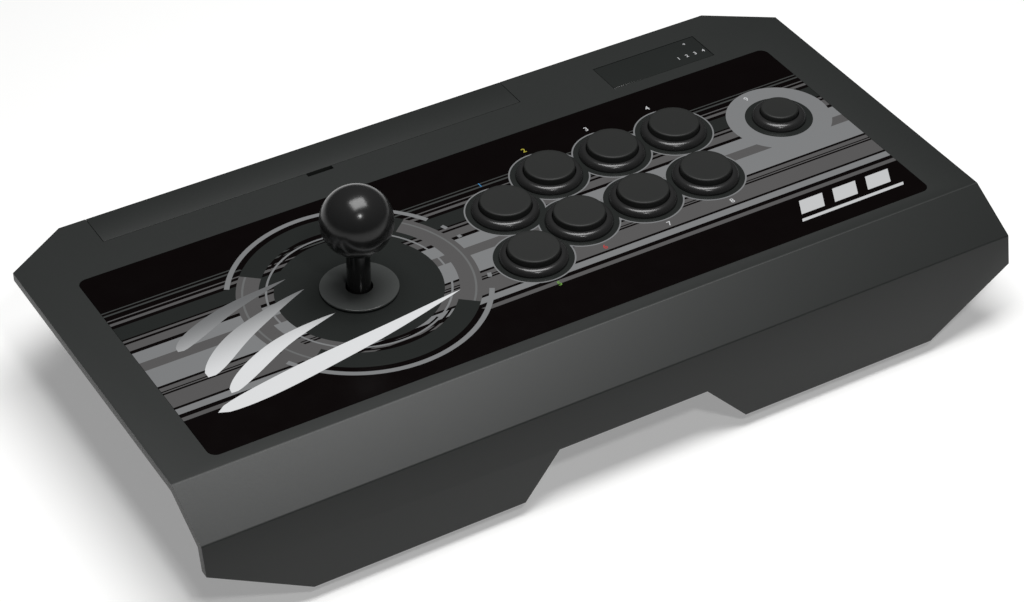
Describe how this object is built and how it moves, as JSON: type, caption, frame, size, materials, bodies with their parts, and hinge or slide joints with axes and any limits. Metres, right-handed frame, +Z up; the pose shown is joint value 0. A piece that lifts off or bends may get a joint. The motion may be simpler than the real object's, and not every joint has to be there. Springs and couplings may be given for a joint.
{
  "type": "arcade joystick panel",
  "caption": "Desk-top arcade controller: faceted dark case with a ball-top lever, round push buttons, a hinged rear lid and a striped face panel.",
  "frame": {"origin": "on the ground, under the middle of the whole object's box", "axes": "+Z up, +Y away from the player towards the rear lid, +X to the player's right"},
  "size_m": [0.43, 0.2268, 0.1182],
  "materials": {
    "case_plastic": "fine-grained matt moulded ABS, dark grey",
    "lower_plastic": "matt moulded ABS, near black",
    "painted_steel": "black powder coat",
    "panel_steel": "black e-coated steel sheet",
    "zinc_steel": "zinc-plated pressed steel",
    "foot_rubber": "matt moulded rubber",
    "steel_hardware": "bright zinc-plated or ground steel",
    "brass_hardware": "turned brass",
    "printed_face": "printed and laminated acrylic sheet, black with grey bands",
    "smoked_window": "smoked acrylic with white print",
    "circuit_board": "green solder mask on glass epoxy",
    "wire_cover": "PVC ribbon cable",
    "key_plastic": "satin moulded ABS",
    "lever_plastic": "matt black nylon",
    "acetal": "natural acetal",
    "gloss_black": "polished black plastic",
    "switch_plastic": "black phenolic switch case",
    "button_rim": "glossy black moulded plastic",
    "button_cap": "matt black moulded plastic"
  },
  "bodies": {
    "case": {"top_shell": "case_plastic", "lower_case": "lower_plastic", "base_plate": "painted_steel", "feet": "foot_rubber", "case_screws": "steel_hardware", "cable_gland": "foot_rubber", "face_sheet": "printed_face", "panel_plate": "panel_steel", "panel_screws": "steel_hardware", "status_window": "smoked_window", "led_board": "circuit_board", "main_board": "circuit_board", "board_spacers": "brass_hardware", "wiring": "wire_cover", "lid_pins": "steel_hardware", "control_tray": "lower_plastic", "key_board": "circuit_board", "lever_bracket": "zinc_steel", "lever_housing": "lever_plastic", "lever_screws": "steel_hardware", "switch_board": "circuit_board", "lever_switches": "switch_plastic", "square_gate": "acetal", "button_switches": "switch_plastic", "small_button_housing": "button_rim", "button_housing_1": "button_rim", "button_housing_2": "button_rim", "button_housing_3": "button_rim", "button_housing_4": "button_rim", "button_housing_5": "button_rim", "button_housing_6": "button_rim", "button_housing_7": "button_rim", "button_housing_8": "button_rim"},
    "rear_lid": {"rear_lid": "case_plastic"},
    "tray_key_1": {"tray_key_1": "key_plastic"},
    "tray_key_2": {"tray_key_2": "key_plastic"},
    "tray_key_3": {"tray_key_3": "key_plastic"},
    "tray_key_4": {"tray_key_4": "key_plastic"},
    "tray_slider_1": {"tray_slider_1": "key_plastic"},
    "tray_slider_2": {"tray_slider_2": "key_plastic"},
    "button_1": {"button_plunger_1": "button_cap"},
    "button_2": {"button_plunger_2": "button_cap"},
    "button_3": {"button_plunger_3": "button_cap"},
    "button_4": {"button_plunger_4": "button_cap"},
    "button_5": {"button_plunger_5": "button_cap"},
    "button_6": {"button_plunger_6": "button_cap"},
    "button_7": {"button_plunger_7": "button_cap"},
    "button_8": {"button_plunger_8": "button_cap"},
    "small_button": {"small_button_plunger": "button_cap"},
    "lever_pivot": {"pivot_ball": "acetal", "trunnion_pins": "steel_hardware", "cross_pin": "steel_hardware"},
    "lever": {"lever_shaft": "steel_hardware", "shaft_sleeve": "gloss_black", "ball_top": "gloss_black", "lever_spring": "steel_hardware", "actuator": "acetal", "e_clip": "steel_hardware"},
    "slip_washer": {"slip_washer": "lever_plastic"},
    "dust_washer": {"dust_washer": "gloss_black"}
  },
  "joints": [
    {"name": "lid_hinge", "type": "hinge", "parent": "case", "child": "rear_lid", "pos_m": [-0.05445, 0.10991, 0.0585], "axis": [-1, 0, 0], "range_deg": [0, 100]},
    {"name": "tray_key_1_press", "type": "slide", "parent": "case", "child": "tray_key_1", "axis": [0, 0, -1], "range_m": [0, 0.001], "stiffness_N_per_m": 400, "springref_m": -0.001},
    {"name": "tray_key_2_press", "type": "slide", "parent": "case", "child": "tray_key_2", "axis": [0, 0, -1], "range_m": [0, 0.001], "stiffness_N_per_m": 400, "springref_m": -0.001},
    {"name": "tray_key_3_press", "type": "slide", "parent": "case", "child": "tray_key_3", "axis": [0, 0, -1], "range_m": [0, 0.001], "stiffness_N_per_m": 400, "springref_m": -0.001},
    {"name": "tray_key_4_press", "type": "slide", "parent": "case", "child": "tray_key_4", "axis": [0, 0, -1], "range_m": [0, 0.001], "stiffness_N_per_m": 400, "springref_m": -0.001},
    {"name": "tray_slider_1_slide", "type": "slide", "parent": "case", "child": "tray_slider_1", "axis": [1, 0, 0], "range_m": [0, 0.004]},
    {"name": "tray_slider_2_slide", "type": "slide", "parent": "case", "child": "tray_slider_2", "axis": [1, 0, 0], "range_m": [0, 0.004]},
    {"name": "button_1_press", "type": "slide", "parent": "case", "child": "button_1", "axis": [0, 0, -1], "range_m": [0, 0.0026], "stiffness_N_per_m": 220, "springref_m": -0.0012},
    {"name": "button_2_press", "type": "slide", "parent": "case", "child": "button_2", "axis": [0, 0, -1], "range_m": [0, 0.0026], "stiffness_N_per_m": 220, "springref_m": -0.0012},
    {"name": "button_3_press", "type": "slide", "parent": "case", "child": "button_3", "axis": [0, 0, -1], "range_m": [0, 0.0026], "stiffness_N_per_m": 220, "springref_m": -0.0012},
    {"name": "button_4_press", "type": "slide", "parent": "case", "child": "button_4", "axis": [0, 0, -1], "range_m": [0, 0.0026], "stiffness_N_per_m": 220, "springref_m": -0.0012},
    {"name": "button_5_press", "type": "slide", "parent": "case", "child": "button_5", "axis": [0, 0, -1], "range_m": [0, 0.0026], "stiffness_N_per_m": 220, "springref_m": -0.0012},
    {"name": "button_6_press", "type": "slide", "parent": "case", "child": "button_6", "axis": [0, 0, -1], "range_m": [0, 0.0026], "stiffness_N_per_m": 220, "springref_m": -0.0012},
    {"name": "button_7_press", "type": "slide", "parent": "case", "child": "button_7", "axis": [0, 0, -1], "range_m": [0, 0.0026], "stiffness_N_per_m": 220, "springref_m": -0.0012},
    {"name": "button_8_press", "type": "slide", "parent": "case", "child": "button_8", "axis": [0, 0, -1], "range_m": [0, 0.0026], "stiffness_N_per_m": 220, "springref_m": -0.0012},
    {"name": "small_button_press", "type": "slide", "parent": "case", "child": "small_button", "axis": [0, 0, -1], "range_m": [0, 0.0026], "stiffness_N_per_m": 220, "springref_m": -0.0012},
    {"name": "lever_left_right", "type": "hinge", "parent": "case", "child": "lever_pivot", "pos_m": [-0.082, -0.00039, 0.041], "axis": [0, 1, 0], "range_deg": [-8, 8], "stiffness_Nm_per_rad": 1.2},
    {"name": "lever_fore_aft", "type": "hinge", "parent": "lever_pivot", "child": "lever", "pos_m": [-0.082, -0.00039, 0.041], "axis": [1, 0, 0], "range_deg": [-8, 8], "stiffness_Nm_per_rad": 1.2},
    {"name": "washer_left_right", "type": "slide", "parent": "case", "child": "slip_washer", "axis": [1, 0, 0], "range_m": [-0.0033, 0.0033]},
    {"name": "washer_fore_aft", "type": "slide", "parent": "slip_washer", "child": "dust_washer", "axis": [0, 1, 0], "range_m": [-0.0033, 0.0033]}
  ],
  "couplings": [
    {"joint": "washer_left_right", "follows": "lever_left_right", "m_per_rad": 0.0222},
    {"joint": "washer_fore_aft", "follows": "lever_fore_aft", "m_per_rad": -0.0222}
  ]
}
